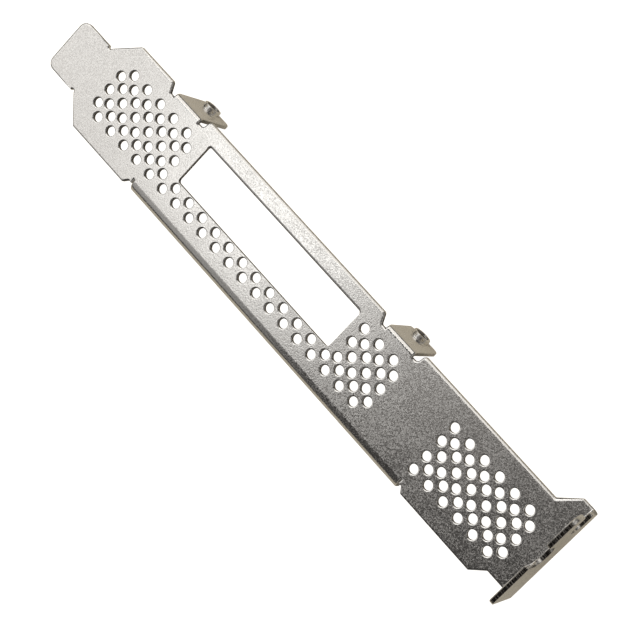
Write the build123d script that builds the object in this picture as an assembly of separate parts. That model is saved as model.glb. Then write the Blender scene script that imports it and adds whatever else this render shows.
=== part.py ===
from build123d import *
import os

# Full-height expansion slot bracket, folded from one sheet of steel.
# Frame: X runs along the plate, with 0 on the face of the top flange that seats
# on the chassis ledge and the tongue at negative X. Y = 0 is the middle line of
# the vent holes. Z = 0 is the axis of the screw slot in the flange, and +Z points
# out of the front face of the plate.

# Sheet and overall size
sheet = 0.86                # thickness
overall_length = 120.02     # tongue end to the outer face of the flange
overall_width = 18.42       # edge on the tab side to the face of the lip
edge_y = 9.11               # hole line to the edge on the tab side
lip_proud = 0.2             # lip beyond the flat edges at its two ends

# Tongue at the lower end
tongue_width = 10.19
tongue_length = 7.3         # end to neck
tongue_corner = 1.5
neck_nick = 0.35            # radius of the small relief at each neck corner

# Flange folded out of the front at the upper end
flange_height = 10.57       # above the front face
flange_fold = 0.4           # inner radius of the fold
flange_low_y = -6.84        # side away from the card tabs
flange_high_y = 12.28       # side of the card tabs
flange_corner = 0.6         # tip corner on the low side
hook_straight = 0.575       # high side left straight between the slot and the tip corner
neck_length = 4.75          # narrowed plate below the seating face
head_length = 2.4           # widened plate below the seating face

# Screw slot, open to the high side of the flange
slot_width = 4.42
slot_reach = 1.6            # side of the flange to the centre of the round end
slot_mouth = 0.5            # rounding of both lips

# Round-ended notch in the tip of the flange
tip_notch_y = 3.4
tip_notch_width = 4.42
tip_notch_depth = 4.8

# Card tabs folded to the rear
tab_width = 6.4
tab_face_y = 8.4            # outer face
tab_depth = 11.35           # below the front face
tab_fold = 0.2              # inner radius of the fold
tab_low_corner = 0.9        # chamfer nearer to the tongue
tab_high_corner = 0.8       # round corner nearer to the flange
tab_x = (-94.35, -40.5)     # middle of each tab

# Reliefs beside each tab
relief_low_floor = 0.9
relief_low_slope = 0.9
relief_high_floor = 1.2
relief_high_slope = 0.3
relief_floor_corner = 0.35
relief_edge_corner = 0.6

# Extruded screw hole in each tab
thread_bore = 2.5
collar_diameter = 3.35
collar_height = 1.0         # above the outer face of the tab
collar_rim = 0.15
screw_to_end = 3.35         # axis to the end of the tab

# Stiffening lip folded to the rear along the other edge
lip_start_x = -92.75
lip_end_x = -24.65
lip_depth = 3.2             # below the front face
lip_fold = 1.1              # inner radius of the fold
lip_notch_height = 1.2      # from the face of the lip inwards
lip_notch_floor = 0.75
lip_notch_slope = 0.8

# Connector window
window_low_x = -86.85
window_high_x = -48.4
window_high_y = 6.15
window_web = 0.25           # sheet left between the window and the holes
window_corner = 0.6

# Vent holes: rows of three holes alternate with rows of four
hole_diameter = 1.7
row_pitch = 1.745
line_pitch = 3.0            # spacing of the holes within a row of three
pair_y = 1.75               # inner pair of a row of four
last_row_x = -5.2           # row nearest to the flange
upper_rows = 12             # rows above the bare strip
label_gap = 12.97           # bare strip between the two fields of holes
shoulder_gap = 0.6          # least distance from a row to the shoulders
window_gap = 0.6            # least sheet between a full row and the window

# Places that follow from the sizes above
lip_face_y = edge_y - overall_width
low_edge_y = lip_face_y + lip_proud
tongue_end_x = sheet - overall_length
neck_x = tongue_end_x + tongue_length
high_shoulder_x = neck_x + edge_y - tongue_width / 2
low_shoulder_x = neck_x - low_edge_y - tongue_width / 2
flange_bend_x = -flange_fold
tab_bend_y = tab_face_y - tab_fold - sheet
lip_bend_y = lip_face_y + lip_fold + sheet
lip_notch_y = lip_face_y + lip_notch_height
front_z = -flange_height / 2
tip_z = flange_height / 2
hook_corner = tip_z - slot_width / 2 - hook_straight
screw_z = front_z - tab_depth + screw_to_end
window_low_y = hole_diameter / 2 + window_web - line_pitch


def fold_section(inner_radius, straight):
    """Quarter ring of sheet about the fold's axis, with a straight wall below it."""
    ring = Circle(inner_radius + sheet) - Circle(inner_radius)
    quarter = ring & Rectangle(50, 50, align=(Align.MIN, Align.MIN))
    wall = Pos(inner_radius, 0) * Rectangle(sheet, straight, align=(Align.MIN, Align.MAX))
    return quarter + wall


def fold_wall(origin, outward, along, inner_radius, straight, length):
    """Folded wall whose axis starts at origin and runs for length."""
    plane = Plane(origin=origin, x_dir=outward, z_dir=along)
    return extrude(plane * fold_section(inner_radius, straight), length)


def round_corners(sketch, points, radius):
    """Fillet the corners of a flat outline that lie on the given points."""
    chosen = []
    for x, y in points:
        chosen.append(sketch.vertices().sort_by_distance((x, y, 0))[0])
    return fillet(chosen, radius)


# Flat plate from the tongue to the fold of the flange
low_turn_x = flange_bend_x - neck_length + flange_fold
high_turn_x = flange_bend_x - head_length + flange_fold
low_cut = flange_low_y - low_edge_y
high_cut = flange_high_y - edge_y
outline = make_face(
    Polyline(
        (tongue_end_x, -tongue_width / 2),
        (neck_x, -tongue_width / 2),
        (low_shoulder_x, low_edge_y),
        (low_turn_x - low_cut, low_edge_y),
        (low_turn_x, flange_low_y),
        (flange_bend_x, flange_low_y),
        (flange_bend_x, flange_high_y),
        (high_turn_x, flange_high_y),
        (high_turn_x - high_cut, edge_y),
        (high_shoulder_x, edge_y),
        (neck_x, tongue_width / 2),
        (tongue_end_x, tongue_width / 2),
        close=True,
    )
)
tongue_tips = [(tongue_end_x, -tongue_width / 2), (tongue_end_x, tongue_width / 2)]
outline = round_corners(outline, tongue_tips, tongue_corner)
for side in (-1, 1):
    outline -= Pos(neck_x - neck_nick, side * tongue_width / 2) * Circle(neck_nick)

# Each tab stands in a recess with a sloped relief on both sides
for x in tab_x:
    low = x - tab_width / 2
    high = x + tab_width / 2
    low_floor = (low - relief_low_floor, tab_bend_y)
    high_floor = (high + relief_high_floor, tab_bend_y)
    low_top = (low_floor[0] - relief_low_slope, edge_y)
    high_top = (high_floor[0] + relief_high_slope, edge_y)
    recess = make_face(Polyline(low_floor, high_floor, high_top, low_top, close=True))
    outline -= recess
    outline = round_corners(outline, [low_floor, high_floor], relief_floor_corner)
    outline = round_corners(outline, [low_top, high_top], relief_edge_corner)

# The lip starts behind a small notch at both of its ends
lip_length = lip_end_x - lip_start_x
lip_mid_x = (lip_start_x + lip_end_x) / 2
notch_half = lip_length / 2 + lip_notch_floor
notch = make_face(
    Polyline(
        (lip_mid_x - notch_half, lip_notch_y),
        (lip_mid_x + notch_half, lip_notch_y),
        (lip_mid_x + notch_half + lip_notch_slope, low_edge_y),
        (lip_mid_x - notch_half - lip_notch_slope, low_edge_y),
        close=True,
    )
)
outline -= notch
strip = Rectangle(lip_length, lip_bend_y - lip_face_y, align=(Align.CENTER, Align.MAX))
outline -= Pos(lip_mid_x, lip_bend_y) * strip

# Connector window
window = RectangleRounded(window_high_x - window_low_x, window_high_y - window_low_y, window_corner)
window_mid = ((window_low_x + window_high_x) / 2, (window_low_y + window_high_y) / 2)
outline -= Pos(*window_mid) * window

# Vent holes, counted from the flange to the tongue. Beside the window, each
# row keeps only the hole nearest to the lip.
three = (-line_pitch, 0, line_pitch)
four = (-pair_y - line_pitch, -pair_y, pair_y, pair_y + line_pitch)
lattice_x = last_row_x - (upper_rows - 1) * row_pitch - label_gap
shoulder_x = max(low_shoulder_x, high_shoulder_x)
lower_rows = int((lattice_x - shoulder_x - shoulder_gap) / row_pitch) + 1
row_x = [last_row_x - row * row_pitch for row in range(upper_rows)]
row_x += [lattice_x - row * row_pitch for row in range(lower_rows)]
row_reach = hole_diameter / 2 + window_gap
centres = []
for row, x in enumerate(row_x):
    lines = three if row % 2 == 0 else four
    if window_low_x - row_reach < x < window_high_x + row_reach:
        lines = lines[:1]
    centres += [(x, y) for y in lines]
outline -= [Pos(x, y) * Circle(hole_diameter / 2) for x, y in centres]
plate = extrude(Pos(0, 0, front_z) * outline, -sheet)

# Flange with its screw slot and tip notch
flange_width = flange_high_y - flange_low_y
flange_start = (flange_bend_x, flange_low_y, front_z + flange_fold)
flange = fold_wall(flange_start, (1, 0, 0), (0, 1, 0), flange_fold, flange_height - flange_fold, flange_width)
side_view = Plane(origin=(0, 0, 0), x_dir=(0, 1, 0), z_dir=(1, 0, 0))
mask = make_face(
    Polyline(
        (flange_low_y, front_z - sheet),
        (flange_high_y, front_z - sheet),
        (flange_high_y, tip_z),
        (flange_low_y, tip_z),
        close=True,
    )
)
mask = round_corners(mask, [(flange_low_y, tip_z)], flange_corner)
mask = round_corners(mask, [(flange_high_y, tip_z)], hook_corner)
slot_end = Pos(flange_high_y - slot_reach, 0) * Circle(slot_width / 2)
slot_run = Pos(flange_high_y - slot_reach, 0) * Rectangle(
    slot_reach, slot_width, align=(Align.MIN, Align.CENTER)
)
mask -= slot_end + slot_run
mouth = [(flange_high_y, -slot_width / 2), (flange_high_y, slot_width / 2)]
mask = round_corners(mask, mouth, slot_mouth)
notch_centre_z = tip_z - tip_notch_depth + tip_notch_width / 2
mask -= Pos(tip_notch_y, notch_centre_z) * Circle(tip_notch_width / 2)
mask -= Pos(tip_notch_y, notch_centre_z) * Rectangle(
    tip_notch_width, tip_notch_depth, align=(Align.CENTER, Align.MIN)
)
flange &= extrude(side_view * mask, 5, both=True)

bracket = plate + flange

# Stiffening lip
lip_start = (lip_end_x, lip_bend_y, front_z - lip_fold - sheet)
lip_straight = lip_depth - lip_fold - sheet
bracket += fold_wall(lip_start, (0, -1, 0), (-1, 0, 0), lip_fold, lip_straight, lip_length)

# Card tabs with their extruded screw holes
for x in tab_x:
    tab_start = (x - tab_width / 2, tab_bend_y, front_z - tab_fold - sheet)
    tab = fold_wall(tab_start, (0, 1, 0), (1, 0, 0), tab_fold, tab_depth - tab_fold - sheet, tab_width)
    tip_edges = tab.edges().filter_by(Axis.Y).sort_by(Axis.Z)[:2].sort_by(Axis.X)
    tab = fillet(tip_edges[1], tab_high_corner)
    tip_edges = tab.edges().filter_by(Axis.Y).sort_by(Axis.Z)[:2].sort_by(Axis.X)
    tab = chamfer(tip_edges[0], tab_low_corner)
    outside = Plane(origin=(x, tab_face_y - sheet, screw_z), x_dir=(1, 0, 0), z_dir=(0, 1, 0))
    collar = extrude(outside * Circle(collar_diameter / 2), sheet + collar_height)
    rim = collar.edges().filter_by(GeomType.CIRCLE).sort_by(Axis.Y)[-1]
    collar = fillet(rim, collar_rim)
    bore = extrude(outside * Circle(thread_bore / 2), 2 * sheet + collar_height)
    bracket += tab + collar
    bracket -= bore

os.makedirs("parts", exist_ok=True)
export_step(bracket, "parts/bracket.step")
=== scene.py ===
import bpy
import numpy as np
from mathutils.geometry import delaunay_2d_cdt
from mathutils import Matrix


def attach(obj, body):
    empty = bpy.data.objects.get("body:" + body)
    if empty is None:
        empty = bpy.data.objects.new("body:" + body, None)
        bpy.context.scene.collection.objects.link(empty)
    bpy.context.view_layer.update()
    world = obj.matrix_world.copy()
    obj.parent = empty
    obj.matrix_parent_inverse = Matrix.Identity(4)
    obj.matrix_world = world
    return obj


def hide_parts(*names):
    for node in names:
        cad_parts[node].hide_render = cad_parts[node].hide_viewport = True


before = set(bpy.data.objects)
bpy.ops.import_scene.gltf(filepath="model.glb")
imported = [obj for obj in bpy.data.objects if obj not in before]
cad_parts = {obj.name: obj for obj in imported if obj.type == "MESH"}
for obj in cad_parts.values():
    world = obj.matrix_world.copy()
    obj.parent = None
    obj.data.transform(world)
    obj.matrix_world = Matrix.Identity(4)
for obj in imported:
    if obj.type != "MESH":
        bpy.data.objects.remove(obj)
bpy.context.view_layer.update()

# ---------------------------------------------------------------------------
# The blank. The bracket starts as one flat strip of steel sheet, sheared and
# punched in a press: tongue, plate, flange, lip and both card tabs lie in one
# plane. Sizes are in millimetres and repeat those of the solid part. A point
# of the blank is (x, y, w), with w the depth from the front face.
# ---------------------------------------------------------------------------

MM = 0.001
HAIR = 0.01
SHEET = 0.86
FRONT_Z = -5.285
EDGE_Y = 9.11
LOW_EDGE_Y = -9.11
SEAT_X = 0.0
TONGUE_END_X = -119.16
TONGUE_HALF = 5.095
TONGUE_CORNER = 1.5
NECK_X = -111.86
NECK_NICK = 0.35

# Folds: inner radius of each, and where each starts
FLANGE_FOLD = 0.4
FLANGE_START_X = SEAT_X - FLANGE_FOLD
TAB_FOLD = 0.2
TAB_START_Y = 7.34
LIP_FOLD = 1.1
LIP_START_Y = -7.35
FOLD_STEPS = 8
FOLD_LEAD = 0.005


def fold_length(inner_radius):
    """Length of blank that a right-angle fold takes up, along the middle of the sheet."""
    return (inner_radius + SHEET / 2) * np.pi / 2


# Flange
FLANGE_HEIGHT = 10.57
FLANGE_LOW_Y = -6.84
FLANGE_HIGH_Y = 12.28
FLANGE_CORNER = 0.6
HOOK_CORNER = 2.5
NECK_LENGTH = 4.75
HEAD_LENGTH = 2.4
SLOT_HALF = 2.21
SLOT_REACH = 1.6
SLOT_MOUTH = 0.5
NOTCH_Y = 3.4
NOTCH_HALF = 2.21
NOTCH_DEPTH = 4.8

# Card tabs
TAB_X = (-94.35, -40.5)
TAB_HALF = 3.2
TAB_DEPTH = 11.35
TAB_LOW_CORNER = 0.9
TAB_HIGH_CORNER = 0.8
RELIEF_LOW = (0.9, 0.9)
RELIEF_HIGH = (1.2, 0.3)
RELIEF_LOW_CORNER = 0.35
RELIEF_HIGH_CORNER = 0.75
RELIEF_EDGE_CORNER = 0.6

# Stiffening lip
LIP_X = (-92.75, -24.65)
LIP_DEPTH = 3.2
LIP_NOTCH_Y = -8.11
LIP_NOTCH = (0.75, 0.8)
LIP_SLIT = 0.12
SHORT_CORNER = 0.35

flange_tip_x = FLANGE_START_X + fold_length(FLANGE_FOLD) + FLANGE_HEIGHT - FLANGE_FOLD
slot_x = flange_tip_x - FLANGE_HEIGHT / 2
tab_end_y = TAB_START_Y + fold_length(TAB_FOLD) + TAB_DEPTH - TAB_FOLD - SHEET
lip_end_y = LIP_START_Y - fold_length(LIP_FOLD) - LIP_DEPTH + LIP_FOLD + SHEET
flange_low_cut = FLANGE_LOW_Y - LOW_EDGE_Y
flange_high_cut = FLANGE_HIGH_Y - EDGE_Y
shoulder = EDGE_Y - TONGUE_HALF


def rounded_path(corners, arc_points=9):
    """Closed path through corners (x, y, radius), in order, with the metal on its left.

    A corner turns by the angle between the edges before and after it. Its arc
    starts at the radius times the tangent of half that angle before the corner,
    and its points are the arc's start turned about the arc's centre in equal
    steps. A corner of no radius stays one point.
    """
    corners = np.array(corners, float)
    point, radius = corners[:, :2], corners[:, 2]
    before = point - np.roll(point, 1, axis=0)
    before /= np.linalg.norm(before, axis=1)[:, None]
    after = np.roll(before, -1, axis=0)
    turn = np.arctan2(
        before[:, 0] * after[:, 1] - before[:, 1] * after[:, 0],
        (before * after).sum(axis=1),
    )
    start = point - before * (radius * np.tan(np.abs(turn) / 2))[:, None]
    left = np.stack([-before[:, 1], before[:, 0]], axis=1)
    centre = start + left * (np.sign(turn) * radius)[:, None]
    angle = turn[:, None] * np.linspace(0, 1, arc_points)
    arm = (start - centre)[:, None, :]
    arc = np.stack(
        [
            arm[..., 0] * np.cos(angle) - arm[..., 1] * np.sin(angle),
            arm[..., 0] * np.sin(angle) + arm[..., 1] * np.cos(angle),
        ],
        axis=2,
    )
    path = (centre[:, None, :] + arc).reshape(-1, 2)
    apart = np.linalg.norm(path - np.roll(path, 1, axis=0), axis=1) > 1e-5
    return path[apart]


def tab_corners(middle):
    """Corners of a tab and its two reliefs, from the flange side to the tongue side."""
    low, high = middle - TAB_HALF, middle + TAB_HALF
    return [
        (high + RELIEF_HIGH[0] + RELIEF_HIGH[1], EDGE_Y, RELIEF_EDGE_CORNER),
        (high + RELIEF_HIGH[0], TAB_START_Y, RELIEF_HIGH_CORNER),
        (high, TAB_START_Y, 0),
        (high, tab_end_y, TAB_HIGH_CORNER),
        (low + TAB_LOW_CORNER, tab_end_y, SHORT_CORNER),
        (low, tab_end_y - TAB_LOW_CORNER, SHORT_CORNER),
        (low, TAB_START_Y, 0),
        (low - RELIEF_LOW[0], TAB_START_Y, RELIEF_LOW_CORNER),
        (low - RELIEF_LOW[0] - RELIEF_LOW[1], EDGE_Y, RELIEF_EDGE_CORNER),
    ]


outline_corners = [
    (TONGUE_END_X, -TONGUE_HALF, TONGUE_CORNER),
    (NECK_X - 2 * NECK_NICK, -TONGUE_HALF, 0),
    (NECK_X - 2 * NECK_NICK, NECK_NICK - TONGUE_HALF, NECK_NICK),
    (NECK_X, NECK_NICK - TONGUE_HALF, NECK_NICK),
    (NECK_X, -TONGUE_HALF, 0),
    (NECK_X + shoulder, LOW_EDGE_Y, SHORT_CORNER),
    (LIP_X[0] - LIP_NOTCH[0] - LIP_NOTCH[1], LOW_EDGE_Y, SHORT_CORNER),
    (LIP_X[0] - LIP_NOTCH[0], LIP_NOTCH_Y, SHORT_CORNER),
    (LIP_X[0] - LIP_SLIT, LIP_NOTCH_Y, 0),
    (LIP_X[0] - LIP_SLIT, LIP_START_Y, 0),
    (LIP_X[0], LIP_START_Y, 0),
    (LIP_X[0], lip_end_y, SHORT_CORNER),
    (LIP_X[1], lip_end_y, SHORT_CORNER),
    (LIP_X[1], LIP_START_Y, 0),
    (LIP_X[1] + LIP_SLIT, LIP_START_Y, 0),
    (LIP_X[1] + LIP_SLIT, LIP_NOTCH_Y, 0),
    (LIP_X[1] + LIP_NOTCH[0], LIP_NOTCH_Y, SHORT_CORNER),
    (LIP_X[1] + LIP_NOTCH[0] + LIP_NOTCH[1], LOW_EDGE_Y, SHORT_CORNER),
    (SEAT_X - NECK_LENGTH - flange_low_cut, LOW_EDGE_Y, SHORT_CORNER),
    (SEAT_X - NECK_LENGTH, FLANGE_LOW_Y, SHORT_CORNER),
    (flange_tip_x, FLANGE_LOW_Y, FLANGE_CORNER),
    (flange_tip_x, NOTCH_Y - NOTCH_HALF, SHORT_CORNER),
    (flange_tip_x - NOTCH_DEPTH, NOTCH_Y - NOTCH_HALF, NOTCH_HALF - HAIR),
    (flange_tip_x - NOTCH_DEPTH, NOTCH_Y + NOTCH_HALF, NOTCH_HALF - HAIR),
    (flange_tip_x, NOTCH_Y + NOTCH_HALF, SHORT_CORNER),
    (flange_tip_x, FLANGE_HIGH_Y, HOOK_CORNER),
    (slot_x + SLOT_HALF, FLANGE_HIGH_Y, SLOT_MOUTH),
    (slot_x + SLOT_HALF, FLANGE_HIGH_Y - SLOT_REACH - SLOT_HALF, SLOT_HALF - HAIR),
    (slot_x - SLOT_HALF, FLANGE_HIGH_Y - SLOT_REACH - SLOT_HALF, SLOT_HALF - HAIR),
    (slot_x - SLOT_HALF, FLANGE_HIGH_Y, SLOT_MOUTH),
    (SEAT_X - HEAD_LENGTH, FLANGE_HIGH_Y, SHORT_CORNER),
    (SEAT_X - HEAD_LENGTH - flange_high_cut, EDGE_Y, SHORT_CORNER),
    *tab_corners(TAB_X[1]),
    *tab_corners(TAB_X[0]),
    (NECK_X + shoulder, EDGE_Y, SHORT_CORNER),
    (NECK_X, TONGUE_HALF, 0),
    (NECK_X, TONGUE_HALF - NECK_NICK, NECK_NICK),
    (NECK_X - 2 * NECK_NICK, TONGUE_HALF - NECK_NICK, NECK_NICK),
    (NECK_X - 2 * NECK_NICK, TONGUE_HALF, 0),
    (TONGUE_END_X, TONGUE_HALF, TONGUE_CORNER),
]

# Lines across the blank at which the folds bend it, one more than the steps
flange_creases = FLANGE_START_X + np.linspace(0, fold_length(FLANGE_FOLD), FOLD_STEPS + 1)
tab_creases = TAB_START_Y + np.linspace(FOLD_LEAD, fold_length(TAB_FOLD), FOLD_STEPS + 1)
lip_creases = LIP_START_Y - np.linspace(FOLD_LEAD, fold_length(LIP_FOLD), FOLD_STEPS + 1)


def split_at(path, axis, levels):
    """The closed path with a point added wherever it crosses x or y at one of the levels."""
    closed = np.vstack([path, path[:1]])
    a, b = closed[:-1, axis][:, None], closed[1:, axis][:, None]
    crosses = (np.minimum(a, b) < levels - 1e-4) & (np.maximum(a, b) > levels + 1e-4)
    share = (levels - a) / np.where(crosses, b - a, 1)
    added = (np.arange(len(path))[:, None] + share)[crosses]
    place = np.unique(np.concatenate([np.arange(len(path)), added]))
    count = np.arange(len(closed))
    return np.stack([np.interp(place, count, closed[:, i]) for i in (0, 1)], axis=1)


outline = rounded_path(outline_corners)
outline = split_at(outline, 0, flange_creases)
outline = split_at(outline, 1, tab_creases)
outline = split_at(outline, 1, lip_creases)

# ---------------------------------------------------------------------------
# Vent holes and connector window. They are punched through the blank from its
# front, so the front edge of each is drawn down into a small round, and its
# wall is a little rougher and takes the full dark wall colour: partly duller
# cut steel, partly painted shade in the holes.
# ---------------------------------------------------------------------------

HOLE_RADIUS = 0.85
HOLE_SIDES = 18
ROW_PITCH = 1.745
LAST_ROW_X = -5.2
UPPER_ROWS = 12
LABEL_GAP = 12.97
LOWER_ROWS = 41
ROW_OF_THREE = (-3.0, 0.0, 3.0)
ROW_OF_FOUR = (-4.75, -1.75, 1.75, 4.75)
WINDOW_X = (-86.85, -48.4)
WINDOW_Y = (-1.9, 6.15)
WINDOW_CORNER = 0.6
WINDOW_KEEP = 0.6

lattice_x = LAST_ROW_X - (UPPER_ROWS - 1) * ROW_PITCH - LABEL_GAP
row_x = np.concatenate(
    [
        LAST_ROW_X - ROW_PITCH * np.arange(UPPER_ROWS),
        lattice_x - ROW_PITCH * np.arange(LOWER_ROWS),
    ]
)
hole_centres = []
for row, x in enumerate(row_x):
    lines = ROW_OF_THREE if row % 2 == 0 else ROW_OF_FOUR
    reach = HOLE_RADIUS + WINDOW_KEEP
    if WINDOW_X[0] - reach < x < WINDOW_X[1] + reach:
        lines = lines[:1]
    hole_centres += [(x, y) for y in lines]
hole_centres = np.array(hole_centres)


def circle_path(centre, radius, sides):
    """Closed path round a hole, clockwise, so that the metal is on its left."""
    angle = -2 * np.pi * np.arange(sides) / sides
    return np.array(centre) + radius * np.stack([np.cos(angle), np.sin(angle)], axis=1)


window = rounded_path(
    [
        (WINDOW_X[0], WINDOW_Y[0], WINDOW_CORNER),
        (WINDOW_X[0], WINDOW_Y[1], WINDOW_CORNER),
        (WINDOW_X[1], WINDOW_Y[1], WINDOW_CORNER),
        (WINDOW_X[1], WINDOW_Y[0], WINDOW_CORNER),
    ]
)

# ---------------------------------------------------------------------------
# Edges. Every sheared edge is a narrow band round the blank or round a hole:
# the front corner rolls over, the wall goes straight through the sheet, and
# the rear corner is nearly sharp.
# ---------------------------------------------------------------------------

ROLL_IN = 0.32
WIDE_ROLL_IN = 0.6
ROLL_DOWN = 0.22
HOLE_ROLL_IN = 0.21
HOLE_ROLL_DOWN = 0.2
WINDOW_ROLL_IN = 0.05
WINDOW_WIDE_ROLL_IN = 0.42
WINDOW_ROLL_DOWN = 0.12
REAR_BREAK = 0.06
ROLL_STEPS = 4
HOLE_ROLL_STEPS = 3

# Lean of the round, in degrees, at these places from its start to its end
LEAN_PLACES = (0, 0.25, 0.75, 1)
ROLL_LEAN = (0, 22, 48, 90)
HOLE_LEAN = (0, 24, 36, 90)

# How an edge is set back evenly where its path turns tightly
EASE_ROUNDS = 12
EASE_SHARE = 0.75
SHORTEST_EDGE = 0.002

# Share of the dark wall colour on the walls, partly duller cut steel and partly painted shade, which
# also adds a little roughness: it rises late over the round, and is low on the edges that get little
# painted shade
TEAR_AND_SHADE_POWER = 4
OUTER_TEAR_AND_SHADE = 0.12
RIM_FADE = 0.3
TIP_SHARE = 0.85

points, normals, wall_cut_and_shade_share, run, strips, front_loops, rear_loops = [], [], [], [], [], [], []
point_count = 0


def add_grid(place, direction, wall, along):
    """Adds a grid of points, closed along its second axis, and its quads. Returns the indices."""
    global point_count
    rows, columns = place.shape[:2]
    index = point_count + np.arange(rows * columns).reshape(rows, columns)
    point_count += rows * columns
    points.append(place.reshape(-1, 3))
    normals.append(direction.reshape(-1, 3))
    wall_cut_and_shade_share.append(np.broadcast_to(wall, (rows, columns)).ravel())
    run.append(np.tile(along, rows))
    ahead = np.roll(index, -1, axis=1)
    quads = np.stack([index[:-1], index[1:], ahead[1:], ahead[:-1]], axis=2)
    strips.append(quads.reshape(-1, 4))
    return index


def edge_band(path, roll_in, roll_down, roll_steps, tear_and_shade=1.0, roll_lean=ROLL_LEAN):
    """Edge of the sheet along a closed path.

    The profile is a quarter ellipse from the front face, roll_in wide and
    roll_down deep, then the straight wall, then a narrow break at the rear.
    Each profile point is set into the metal along the path's mitred normal,
    by less where the path turns so tightly that an edge would turn round. The
    normals of the round lean outwards by roll_lean degrees at its start, at a
    quarter, at three quarters and at its end. The width roll_in and the wall's
    share of the dark wall colour, which is partly duller cut steel and partly
    painted shade and adds a little roughness, are one number, or one for each
    point of the path.
    """
    roll_in = np.broadcast_to(roll_in, len(path)).astype(float)
    edge = np.roll(path, -1, axis=0) - path
    edge /= np.linalg.norm(edge, axis=1)[:, None]
    side = np.stack([edge[:, 1], -edge[:, 0]], axis=1)
    behind = np.roll(side, 1, axis=0)
    mitre = (side + behind) / (1 + (side * behind).sum(axis=1))[:, None]
    outward = mitre / np.linalg.norm(mitre, axis=1)[:, None]
    for _ in range(EASE_ROUNDS):
        inner = path - roll_in[:, None] * mitre
        turned = ((np.roll(inner, -1, axis=0) - inner) * edge).sum(axis=1) < SHORTEST_EDGE
        mitre[turned | np.roll(turned, 1)] *= EASE_SHARE
    roll = np.linspace(0, np.pi / 2, roll_steps + 1)
    rounded = 1 - np.sin(roll)
    inset = np.vstack([rounded[:, None] * roll_in, np.zeros(len(path)), np.full(len(path), REAR_BREAK)])
    depth = np.concatenate(
        [-roll_down * (1 - np.cos(roll)), [REAR_BREAK - SHEET, -SHEET]]
    )
    slope = np.radians(np.interp(roll / roll[-1], LEAN_PLACES, roll_lean))
    lean = np.vstack([np.stack([np.sin(slope), np.cos(slope)], axis=1), [1, 0], [0, -1]])
    wall = np.concatenate([np.linspace(0, 1, roll_steps + 1) ** TEAR_AND_SHADE_POWER, [1, 0]])
    wall = np.outer(wall, np.broadcast_to(tear_and_shade, len(path)))
    rows = len(inset)
    place = np.empty((rows, len(path), 3))
    place[..., :2] = path - inset[..., None] * mitre
    place[..., 2] = depth[:, None]
    direction = np.empty_like(place)
    direction[..., :2] = lean[:, :1, None] * outward
    direction[..., 2] = lean[:, 1:]
    step = np.linalg.norm(path - np.roll(path, 1, axis=0), axis=1)
    index = add_grid(place, direction, wall, np.cumsum(step) - step[0])
    front_loops.append(index[0])
    rear_loops.append(index[-1])


# The edge over the card tabs has a wide soft round, and its wall takes little of
# the dark wall colour and its painted shade. So do the walls in the nicks, the
# slit and the cut-outs of the flange.
edge_x, edge_y = outline.T
tab_side = (np.abs(edge_x[:, None] - np.array(TAB_X)) < TAB_HALF + HAIR).any(axis=1)
top_edge = np.clip(1 - (EDGE_Y - edge_y) / RIM_FADE, 0, 1) * (edge_x < FLANGE_START_X - RIM_FADE)
in_nick = np.abs(edge_x - NECK_X + NECK_NICK) < 2 * NECK_NICK
in_slit = (np.abs(edge_x - LIP_X[0]) < RIM_FADE) & (edge_y < LIP_START_Y + RIM_FADE)
ahead = np.roll(outline, -1, axis=0) - np.roll(outline, 1, axis=0)
faces_tip = ahead[:, 1] > TIP_SHARE * np.linalg.norm(ahead, axis=1)
in_cutout = (edge_x > flange_creases[-1] + RIM_FADE) & ~faces_tip
edge_band(
    outline,
    ROLL_IN + (WIDE_ROLL_IN - ROLL_IN) * top_edge * ~(tab_side & (edge_y > EDGE_Y - RIM_FADE)),
    ROLL_DOWN,
    ROLL_STEPS,
    1 - (1 - OUTER_TEAR_AND_SHADE) * np.maximum(top_edge, in_nick | in_slit | in_cutout),
)
near_top = np.clip(1 - (WINDOW_Y[1] - window[:, 1]) / WINDOW_CORNER, 0, 1)
edge_band(
    window,
    WINDOW_ROLL_IN + (WINDOW_WIDE_ROLL_IN - WINDOW_ROLL_IN) * near_top,
    WINDOW_ROLL_DOWN,
    HOLE_ROLL_STEPS,
)
for centre in hole_centres:
    edge_band(
        circle_path(centre, HOLE_RADIUS, HOLE_SIDES),
        HOLE_ROLL_IN,
        HOLE_ROLL_DOWN,
        HOLE_ROLL_STEPS,
        roll_lean=HOLE_LEAN,
    )

# ---------------------------------------------------------------------------
# Screw collars. The sheet of each tab is drawn outwards round a pierced hole
# into a short collar, and an M3 thread is formed in its bore.
# ---------------------------------------------------------------------------

BORE_RADIUS = 1.25
COLLAR_RADIUS = 1.675
COLLAR_HEIGHT = 1.0
COLLAR_RIM = 0.15
COLLAR_ROOT = 0.2
BORE_MOUTH = 0.12
SCREW_TO_END = 3.35
THREAD_PITCH = 0.5
THREAD_DEPTH = 0.14
THREAD_ROWS = 28
COLLAR_SIDES = 40


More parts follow.
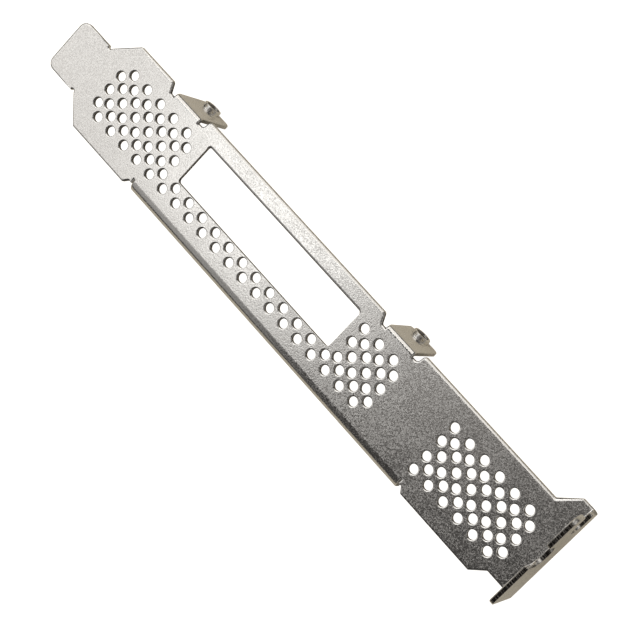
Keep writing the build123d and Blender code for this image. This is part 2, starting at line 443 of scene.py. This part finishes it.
def collar(centre):
    """Collar and threaded bore round one screw axis.

    The profile runs up the root, the outside, the rim and the mouth, and then
    down the bore. In the bore the radius follows a cosine of the depth over
    the pitch plus the turn, which makes the thread one helix.
    """
    quarter = np.linspace(0, np.pi / 2, 4)
    top = COLLAR_HEIGHT
    radius = [COLLAR_RADIUS + COLLAR_ROOT * (1 - np.sin(quarter))]
    depth = [COLLAR_ROOT * (1 - np.cos(quarter))]
    radius.append(COLLAR_RADIUS - COLLAR_RIM * (1 - np.cos(quarter)))
    depth.append(top - COLLAR_RIM * (1 - np.sin(quarter)))
    radius.append(BORE_RADIUS + BORE_MOUTH * (1 - np.sin(quarter)))
    depth.append(top - BORE_MOUTH * (1 - np.cos(quarter)))
    bore = np.linspace(top - BORE_MOUTH, BORE_MOUTH - SHEET, THREAD_ROWS + 2)[1:-1]
    radius.append(np.full(THREAD_ROWS, BORE_RADIUS))
    depth.append(bore)
    radius.append(BORE_RADIUS + BORE_MOUTH * (1 - np.cos(quarter)))
    depth.append(BORE_MOUTH * (1 - np.sin(quarter)) - SHEET)
    radius, depth = np.concatenate(radius), np.concatenate(depth)
    turn = 2 * np.pi * np.arange(COLLAR_SIDES) / COLLAR_SIDES
    in_bore = (radius < BORE_RADIUS + 1e-6) & (depth < top - BORE_MOUTH - 0.02)
    fade = np.where(in_bore, np.clip((depth + SHEET - BORE_MOUTH) / 0.2, 0, 1), 0)
    wave = 0.5 - 0.5 * np.cos(2 * np.pi * depth[:, None] / THREAD_PITCH + turn)
    around = radius[:, None] + THREAD_DEPTH * fade[:, None] * wave
    place = np.empty((len(radius), COLLAR_SIDES, 3))
    place[..., 0] = centre[0] + around * np.cos(turn)
    place[..., 1] = centre[1] - around * np.sin(turn)
    place[..., 2] = depth[:, None]
    along = np.gradient(place, axis=0)
    across = np.roll(place, -1, axis=1) - np.roll(place, 1, axis=1)
    direction = np.cross(along, across)
    direction /= np.linalg.norm(direction, axis=2)[..., None]
    # The bore takes 0.6 of the dark wall colour, so it renders darker than the collar.
    index = add_grid(place, direction, np.where(in_bore, 0.6, 0.0)[:, None], turn * COLLAR_RADIUS)
    front_loops.append(index[0])
    rear_loops.append(index[-1])


for middle in TAB_X:
    collar((middle, tab_end_y - SCREW_TO_END))

# ---------------------------------------------------------------------------
# Faces. The front and the rear of the blank are flat, so each is filled with
# triangles between its loops, with extra lines where the folds bend it.
# ---------------------------------------------------------------------------


def inside(place, path):
    """Whether points lie in a closed path: a ray along x crosses it an odd number of times."""
    a, b = path, np.roll(path, -1, axis=0)
    x, y = place[:, 0][:, None], place[:, 1][:, None]
    level = (a[:, 1] > y) != (b[:, 1] > y)
    rise = np.where(a[:, 1] == b[:, 1], 1, b[:, 1] - a[:, 1])
    crossing = a[:, 0] + (b[:, 0] - a[:, 0]) * (y - a[:, 1]) / rise
    return (level & (x < crossing)).sum(axis=1) % 2 == 1


def fill_face(loops, facing):
    """Triangles of one flat face of the blank, between its outer loop and its holes.

    The creases of the folds are drawn into it, from side to side. A triangle is
    left out if its middle lies outside the outer loop, or if its three corners
    lie on one hole.
    """
    flat = np.concatenate(points)[:, :2]
    corner = np.concatenate(loops)
    owner = np.repeat(np.arange(len(loops)), [len(loop) for loop in loops])
    place = flat[corner]
    edges = [
        np.stack([start + np.arange(len(loop)), start + np.roll(np.arange(len(loop)), -1)], 1)
        for loop, start in zip(loops, np.searchsorted(owner, np.arange(len(loops))))
    ]
    outer = place[: len(loops[0])]
    ends = []
    for x in flange_creases:
        ends.append(((x, FLANGE_LOW_Y), (x, FLANGE_HIGH_Y)))
    for middle in TAB_X:
        ends += [((middle - TAB_HALF, y), (middle + TAB_HALF, y)) for y in tab_creases]
    ends += [((LIP_X[0], y), (LIP_X[1], y)) for y in lip_creases]
    ends = np.array(ends)
    nearest = np.linalg.norm(ends[:, :, None, :] - outer, axis=3).argmin(axis=2)
    edges.append(nearest)
    edges = np.concatenate(edges).tolist()
    found = delaunay_2d_cdt(place.tolist(), edges, [], 1, 1e-6, True)
    source = np.array([ids[0] if ids else -1 for ids in found[3]])
    triangles = source[np.array(found[2])]
    owners = owner[triangles]
    spans_hole = (owners[:, 0] > 0) & (owners == owners[:, :1]).all(axis=1)
    kept = inside(place[triangles].mean(axis=1), outer) & ~spans_hole
    if (triangles[kept] < 0).any():
        raise ValueError("a crease crosses a hole")
    triangles = corner[triangles[kept]]
    a, b, c = (flat[triangles[:, i]] for i in range(3))
    area = (b[:, 0] - a[:, 0]) * (c[:, 1] - a[:, 1]) - (b[:, 1] - a[:, 1]) * (c[:, 0] - a[:, 0])
    turned = triangles[:, [0, 2, 1]]
    return np.where((area * facing > 0)[:, None], triangles, turned)


faces = np.vstack([fill_face(front_loops, 1), fill_face(rear_loops, -1)])

# ---------------------------------------------------------------------------
# Folding. The press brake turns the flange up, and the tabs and the lip down.
# ---------------------------------------------------------------------------


def fold(place, direction, inside, axis, sign, start, inner_radius, upwards):
    """Folds the part of the blank past a line by a right angle.

    A point at distance s past the line turns by s over the fold's length, at
    most a right angle, about an axis above or below the sheet. What is past
    the fold goes straight on. Normals turn by the same angle. Returns how far
    each point is into the fold: 0 at both ends and 1 half way.
    """
    length = fold_length(inner_radius)
    past = np.where(inside, sign * (place[:, axis] - start), 0)
    turn = np.clip(past / length, 0, 1) * np.pi / 2
    straight = np.clip(past - length, 0, None)
    way = 1 if upwards else -1
    pivot = inner_radius if upwards else inner_radius + SHEET
    arm = pivot - way * place[:, 2]
    bent = past > 0
    along = arm * np.sin(turn)
    rise = way * (pivot - arm * np.cos(turn) + straight)
    place[:, axis] = np.where(bent, start + sign * along, place[:, axis])
    place[:, 2] = np.where(bent, rise, place[:, 2])
    flat = sign * direction[:, axis]
    up = direction[:, 2].copy()
    direction[:, axis] = sign * (flat * np.cos(turn) - way * up * np.sin(turn))
    direction[:, 2] = way * flat * np.sin(turn) + up * np.cos(turn)
    return np.sin(2 * turn)


place, direction = np.concatenate(points), np.concatenate(normals)
x, y = place[:, 0].copy(), place[:, 1].copy()
burnished = fold(place, direction, x > FLANGE_START_X, 0, 1, FLANGE_START_X, FLANGE_FOLD, True)
for middle in TAB_X:
    on_tab = (np.abs(x - middle) < TAB_HALF + HAIR) & (y > TAB_START_Y)
    burnished += fold(place, direction, on_tab, 1, 1, TAB_START_Y, TAB_FOLD, False)
on_lip = (x > LIP_X[0] - HAIR) & (x < LIP_X[1] + HAIR) & (y < LIP_START_Y)
fold(place, direction, on_lip, 1, -1, LIP_START_Y, LIP_FOLD, False)
place[:, 2] += FRONT_Z

mesh = bpy.data.meshes.new("bracket_sheet")
polygons = [face.tolist() for face in faces] + [quad.tolist() for quad in np.vstack(strips)]
mesh.from_pydata((place * MM).tolist(), [], polygons)
mesh.polygons.foreach_set("use_smooth", np.ones(len(mesh.polygons), bool))
wall_share = mesh.attributes.new("wall_cut_and_shade_share", "FLOAT", "POINT")
wall_share.data.foreach_set("value", np.concatenate(wall_cut_and_shade_share).astype(np.float32))
edge_run = mesh.attributes.new("edge_run", "FLOAT", "POINT")
edge_run.data.foreach_set("value", np.concatenate(run).astype(np.float32))
fold_share = mesh.attributes.new("burnished", "FLOAT", "POINT")
fold_share.data.foreach_set("value", burnished.astype(np.float32))
mesh.normals_split_custom_set_from_vertices(direction.tolist())
bracket_sheet = bpy.data.objects.new("bracket_sheet", mesh)
bpy.context.scene.collection.objects.link(bracket_sheet)
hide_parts("bracket")
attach(bracket_sheet, "root")

# ---------------------------------------------------------------------------
# Bright nickel plating over tumbled steel: a satin metal with a fine grain,
# faint clouding from handling, and walls painted nearly black with lighter
# streaks, which is partly duller cut steel and partly painted shade.
# ---------------------------------------------------------------------------

nickel = bpy.data.materials.new("satin_nickel_plate")
nickel.use_nodes = True
tree = nickel.node_tree
shader = tree.nodes["Principled BSDF"]
shader.inputs["Metallic"].default_value = 1.0


def node(kind, **settings):
    """A node of the nickel material, with its properties set."""
    made = tree.nodes.new(kind)
    for name, value in settings.items():
        setattr(made, name, value)
    return made


def join(source, output, target, inlet):
    tree.links.new(source.outputs[output], target.inputs[inlet])


spot = node("ShaderNodeTexCoord")
grain = node("ShaderNodeTexNoise")
grain.inputs["Scale"].default_value = 5000.0
grain.inputs["Detail"].default_value = 1.0
join(spot, "Object", grain, "Vector")
cloud = node("ShaderNodeTexNoise")
cloud.inputs["Scale"].default_value = 160.0
cloud.inputs["Detail"].default_value = 4.0
join(spot, "Object", cloud, "Vector")
wall = node("ShaderNodeAttribute", attribute_name="wall_cut_and_shade_share")
edge_place = node("ShaderNodeAttribute", attribute_name="edge_run")
burnish = node("ShaderNodeTexNoise", noise_dimensions="1D")
burnish.inputs["Scale"].default_value = 4.0
burnish.inputs["Detail"].default_value = 2.0
join(edge_place, "Fac", burnish, "W")

streak = node("ShaderNodeMapRange")
streak.inputs["From Min"].default_value = 0.48
streak.inputs["From Max"].default_value = 0.68
join(burnish, "Fac", streak, "Value")
# Wall colour: near black with lighter streaks along the edge. The streaks are the burnished and
# fractured bands of the cut; the near black is partly duller cut steel and partly painted shade,
# deepest in the holes, the window and on the flange tip.
wall_streaks_and_painted_shade = node("ShaderNodeMix", data_type="RGBA")
wall_streaks_and_painted_shade.inputs["A"].default_value = (0.02, 0.017, 0.015, 1)
wall_streaks_and_painted_shade.inputs["B"].default_value = (0.4, 0.38, 0.35, 1)
tree.links.new(streak.outputs["Result"], wall_streaks_and_painted_shade.inputs["Factor"])
# Faces keep the plate colour; walls take the dark wall colour, with its painted shade, by their share.
plate_or_shaded_wall = node("ShaderNodeMix", data_type="RGBA")
plate_or_shaded_wall.inputs["A"].default_value = (0.75, 0.735, 0.71, 1)
tree.links.new(wall_streaks_and_painted_shade.outputs["Result"], plate_or_shaded_wall.inputs["B"])
tree.links.new(wall.outputs["Fac"], plate_or_shaded_wall.inputs["Factor"])
speck = node("ShaderNodeMapRange")
for name, value in (("From Min", 0.3), ("From Max", 0.7), ("To Min", 0.87), ("To Max", 1.15)):
    speck.inputs[name].default_value = value
join(grain, "Fac", speck, "Value")
toned = node("ShaderNodeMix", data_type="RGBA", blend_type="MULTIPLY")
toned.inputs["Factor"].default_value = 1.0
tree.links.new(plate_or_shaded_wall.outputs["Result"], toned.inputs["A"])
tree.links.new(speck.outputs["Result"], toned.inputs["B"])
tree.links.new(toned.outputs["Result"], shader.inputs["Base Color"])

mottle = node("ShaderNodeMath", operation="MULTIPLY_ADD")
join(cloud, "Fac", mottle, 0)
mottle.inputs[1].default_value = 0.25
join(grain, "Fac", mottle, 2)
tight_fold = node("ShaderNodeAttribute", attribute_name="burnished")
rubbed = node("ShaderNodeMath", operation="MULTIPLY_ADD")
join(tight_fold, "Fac", rubbed, 0)
rubbed.inputs[1].default_value = -0.3
join(mottle, "Value", rubbed, 2)
dull = node("ShaderNodeMapRange")
for name, value in (("From Min", 0.45), ("From Max", 0.85), ("To Min", 0.05), ("To Max", 0.35)):
    dull.inputs[name].default_value = value
join(rubbed, "Value", dull, "Value")
rough = node("ShaderNodeMath", operation="MULTIPLY_ADD")
tree.links.new(wall.outputs["Fac"], rough.inputs[0])
rough.inputs[1].default_value = 0.02
tree.links.new(dull.outputs["Result"], rough.inputs[2])
tree.links.new(rough.outputs["Value"], shader.inputs["Roughness"])

lines = node("ShaderNodeMath", operation="MULTIPLY")
join(burnish, "Fac", lines, 0)
join(wall, "Fac", lines, 1)
relief = node("ShaderNodeMath", operation="MULTIPLY_ADD")
join(lines, "Value", relief, 0)
relief.inputs[1].default_value = 8.0
join(grain, "Fac", relief, 2)
bump = node("ShaderNodeBump")
bump.inputs["Strength"].default_value = 0.8
bump.inputs["Distance"].default_value = 0.00001
join(relief, "Value", bump, "Height")
join(bump, "Normal", shader, "Normal")
mesh.materials.append(nickel)

# ---------------------------------------------------------------------------
# Table: a plain white sheet just under the ends of the tabs.
# ---------------------------------------------------------------------------

TABLE_GAP = 0.05
TABLE_HALF = 3
FLOOR_Z = FRONT_Z - TAB_DEPTH - TABLE_GAP
floor_mesh = bpy.data.meshes.new("table")
floor_mesh.from_pydata(
    [(x * TABLE_HALF, y * TABLE_HALF, FLOOR_Z * MM) for x, y in ((-1, -1), (1, -1), (1, 1), (-1, 1))],
    [],
    [(0, 1, 2, 3)],
)
floor = bpy.data.objects.new("table", floor_mesh)
bpy.context.scene.collection.objects.link(floor)
paper = bpy.data.materials.new("white_table")
paper.use_nodes = True
tree = paper.node_tree
surface = tree.nodes["Principled BSDF"]
surface.inputs["Base Color"].default_value = (0.80, 0.745, 0.63, 1)
surface.inputs["Roughness"].default_value = 0.9
surface.inputs["Specular IOR Level"].default_value = 0.0
rays = node("ShaderNodeLightPath")
seen = node("ShaderNodeMath", operation="MULTIPLY_ADD")
join(rays, "Is Glossy Ray", seen, 0)
seen.inputs[1].default_value = 0.12
join(rays, "Is Camera Ray", seen, 2)
seen_through = node("ShaderNodeMath", operation="ADD")
join(seen, "Value", seen_through, 0)
join(rays, "Is Transmission Ray", seen_through, 1)
join(seen_through, "Value", surface, "Emission Strength")
warm = node("ShaderNodeMix", data_type="RGBA")
warm.inputs["A"].default_value = (1, 1, 1, 1)
warm.inputs["B"].default_value = (1, 0.9, 0.72, 1)
tree.links.new(rays.outputs["Is Glossy Ray"], warm.inputs["Factor"])
tree.links.new(warm.outputs["Result"], surface.inputs["Emission Color"])
floor_mesh.materials.append(paper)

# ---------------------------------------------------------------------------
# Light: soft white panels hung level above the table, one leaning over the
# side of the card tabs, a pale ceiling that ends in shade at the flange, and
# a pale wall far beyond the flange.
# ---------------------------------------------------------------------------

room = bpy.data.worlds.new("room")
room.use_nodes = True
tree = room.node_tree
way = node("ShaderNodeTexCoord")
slant = node("ShaderNodeVectorMath", operation="DOT_PRODUCT")
join(way, "Generated", slant, 0)
slant.inputs[1].default_value = (1.0, -1.4, 0.0)
spread = node("ShaderNodeMapRange")
CEILING_REACH = 0.3
spread.inputs["From Min"].default_value = -CEILING_REACH
spread.inputs["From Max"].default_value = CEILING_REACH
tree.links.new(slant.outputs["Value"], spread.inputs["Value"])
ceiling = node("ShaderNodeValToRGB")
# Glow of the ceiling against the slope of the way it is seen
CEILING = (
    (-0.237, 0.09), (-0.177, 0.42), (0.05, 0.43), (0.085, 0.39),
    (0.108, 0.3), (0.135, 0.165), (0.18, 0.1), (0.245, 0.05),
)
stops = ceiling.color_ramp.elements
while len(stops) < len(CEILING):
    stops.new(0.5)
for stop, (slope, glow) in zip(stops, CEILING):
    stop.position = (slope + CEILING_REACH) / (2 * CEILING_REACH)
    stop.color = (glow, glow * 0.96, glow * 0.93, 1)
join(spread, "Result", ceiling, "Fac")
aside = node("ShaderNodeVectorMath", operation="DOT_PRODUCT")
join(way, "Generated", aside, 0)
aside.inputs[1].default_value = (1.0, 0.0, 0.0)
beyond = node("ShaderNodeMapRange")
beyond.inputs["From Min"].default_value = 0.45
beyond.inputs["From Max"].default_value = 0.65
join(aside, "Value", beyond, "Value")
walls = node("ShaderNodeMix", data_type="RGBA")
walls.inputs["B"].default_value = (0.32, 0.31, 0.30, 1)
tree.links.new(beyond.outputs["Result"], walls.inputs["Factor"])
tree.links.new(ceiling.outputs["Color"], walls.inputs["A"])
tree.links.new(walls.outputs["Result"], tree.nodes["Background"].inputs["Color"])
bpy.context.scene.world = room


def soft_panel(name, place, turn, width, height, brightness, colour):
    """Rectangular lamp at a place in metres, facing down and then turned, in degrees.

    Its power is pi times its brightness times its area.
    """
    lamp = bpy.data.lights.new(name, "AREA")
    lamp.shape = "RECTANGLE"
    lamp.size, lamp.size_y = width, height
    lamp.energy = np.pi * brightness * width * height
    lamp.color = colour
    panel = bpy.data.objects.new(name, lamp)
    panel.location = place
    panel.rotation_euler = np.radians(turn)
    bpy.context.scene.collection.objects.link(panel)


LEVEL = (0, 0, 0)
soft_panel("panel_above", (-1.12, 0.135, 1.0), LEVEL, 1.55, 0.93, 0.52, (0.99, 0.99, 0.98))
soft_panel("panel_left", (-1.12, -1.87, 1.0), (0, 0, -12.5), 0.83, 3.2, 0.34, (1.0, 0.985, 0.97))
soft_panel("panel_near", (-0.41, 0.165, 0.95), LEVEL, 0.17, 0.86, 0.79, (0.98, 1.0, 1.0))
soft_panel("panel_far", (-1.3, 0.0, 1.05), LEVEL, 1.1, 1.3, 0.8, (1.0, 0.99, 0.98))
soft_panel("panel_beside", (-0.72, 0.95, 0.85), (-50, 0, 21), 1.2, 1.2, 1.05, (1.0, 0.97, 0.93))

# ---------------------------------------------------------------------------
# Camera: a long lens above the flange end, looking down along the plate.
# ---------------------------------------------------------------------------

lens = bpy.data.cameras.new("camera")
lens.lens = 113.275
lens.sensor_width = 36.0
lens.clip_start = 0.01
camera = bpy.data.objects.new("camera", lens)
camera.location = (36.06 * MM, 79.04 * MM, (302.07 + FRONT_Z) * MM)
camera.rotation_euler = np.radians((1.648, 21.351, 46.181))
bpy.context.scene.collection.objects.link(camera)
bpy.context.scene.camera = camera
bpy.context.scene.view_settings.view_transform = "Standard"
